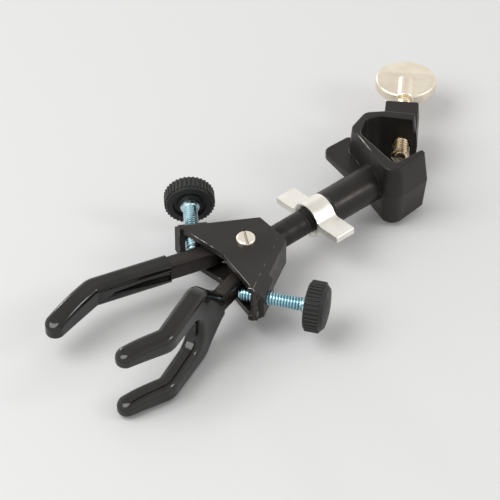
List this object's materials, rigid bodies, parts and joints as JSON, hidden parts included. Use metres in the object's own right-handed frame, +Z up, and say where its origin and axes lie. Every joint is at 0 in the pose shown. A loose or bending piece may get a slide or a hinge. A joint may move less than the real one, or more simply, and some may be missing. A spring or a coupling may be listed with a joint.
{
  "type": "boss head clamp",
  "caption": "Laboratory clamp with a screw jaw for a stand rod, a swivelling stem with wing nut, and a single and a forked dipped finger, each set by its own knob.",
  "frame": {"origin": "axis of a 12.7 mm stand rod lying in the V of the jaw, at the height of the stem's axis", "axes": "+X from the fingers to the jaw along the stem, +Z up along the stand rod, +Y towards the single finger"},
  "size_m": [0.2292, 0.1027, 0.0394],
  "materials": {
    "black_casting": "satin black powder coat over a cast surface",
    "black_steel": "black oxide, satin",
    "black_vinyl": "dipped soft vinyl, slightly glossy",
    "pale_nickel": "warm satin nickel",
    "clamp_screw": "satin nickel with a brassy tint",
    "zinc_plate": "bright zinc plate with a cool tint",
    "spring_steel": "drawn wire",
    "black_knob": "moulded, fine matte"
  },
  "bodies": {
    "boss_head": {"boss_head": "black_casting"},
    "clamp_screw": {"jaw_screw": "clamp_screw"},
    "thumb_head": {"jaw_thumb_head": "pale_nickel"},
    "stem_and_housing": {"stem": "black_steel", "retaining_washer": "zinc_plate", "retaining_screw": "zinc_plate", "housing": "black_casting", "pivot_screw": "pale_nickel", "pivot_lock_washer": "zinc_plate", "pivot_nut": "zinc_plate", "opening_spring": "spring_steel"},
    "wing_nut": {"wing_nut": "pale_nickel"},
    "single_screw": {"single_adjusting_screw": "zinc_plate"},
    "single_knob": {"single_knob": "black_knob"},
    "single_finger": {"single_finger": "black_casting", "single_finger_sleeve": "black_vinyl"},
    "forked_screw": {"forked_adjusting_screw": "zinc_plate"},
    "forked_knob": {"forked_knob": "black_knob"},
    "forked_finger": {"forked_finger": "black_casting", "forked_finger_sleeve": "black_vinyl"}
  },
  "joints": [
    {"name": "stem_swivel", "type": "hinge", "parent": "boss_head", "child": "stem_and_housing", "pos_m": [-0.02487, 0.00359, 0], "axis": [1, 0, 0], "continuous": true},
    {"name": "wing_nut_turn", "type": "hinge", "parent": "stem_and_housing", "child": "wing_nut", "pos_m": [-0.04387, 0.00359, 0], "axis": [-1, 0, 0], "range_deg": [0, 360]},
    {"name": "thumb_turn", "type": "hinge", "parent": "clamp_screw", "child": "thumb_head", "pos_m": [0.03934, 0.03846, 0], "axis": [0.7009, 0.7133, 0], "range_deg": [-2041.1, 2423.8]},
    {"name": "clamp_screw_slide", "type": "slide", "parent": "boss_head", "child": "clamp_screw", "axis": [0.7009, 0.7133, 0], "range_m": [-0.00805, 0.00955]},
    {"name": "single_knob_turn", "type": "hinge", "parent": "single_screw", "child": "single_knob", "pos_m": [-0.07882, 0.04541, 0], "axis": [0.5878, 0.809, 0], "range_deg": [-1186.4, 790.9]},
    {"name": "single_screw_slide", "type": "slide", "parent": "stem_and_housing", "child": "single_screw", "axis": [0.5878, 0.809, 0], "range_m": [-0.00424, 0.00284]},
    {"name": "single_finger_pivot", "type": "hinge", "parent": "stem_and_housing", "child": "single_finger", "pos_m": [-0.08187, 0.00359, 0], "axis": [0, 0, -1], "range_deg": [-12.2, 8.2], "deforming": ["opening_spring"]},
    {"name": "forked_knob_turn", "type": "hinge", "parent": "forked_screw", "child": "forked_knob", "pos_m": [-0.07882, -0.03823, 0], "axis": [0.5878, -0.809, 0], "range_deg": [-1198.5, 799]},
    {"name": "forked_screw_slide", "type": "slide", "parent": "stem_and_housing", "child": "forked_screw", "axis": [0.5878, -0.809, 0], "range_m": [-0.00428, 0.00287]},
    {"name": "forked_finger_pivot", "type": "hinge", "parent": "stem_and_housing", "child": "forked_finger", "pos_m": [-0.08187, 0.00359, 0], "axis": [0, 0, 1], "range_deg": [-12.2, 8.2]}
  ],
  "couplings": [
    {"joint": "clamp_screw_slide", "follows": "thumb_turn", "m_per_rad": 0.00022457},
    {"joint": "single_screw_slide", "follows": "single_knob_turn", "m_per_rad": 0.00020213},
    {"joint": "single_finger_pivot", "follows": "single_knob_turn", "ratio": 0.010114},
    {"joint": "forked_screw_slide", "follows": "forked_knob_turn", "m_per_rad": 0.00020213},
    {"joint": "forked_finger_pivot", "follows": "forked_knob_turn", "ratio": 0.010012}
  ]
}
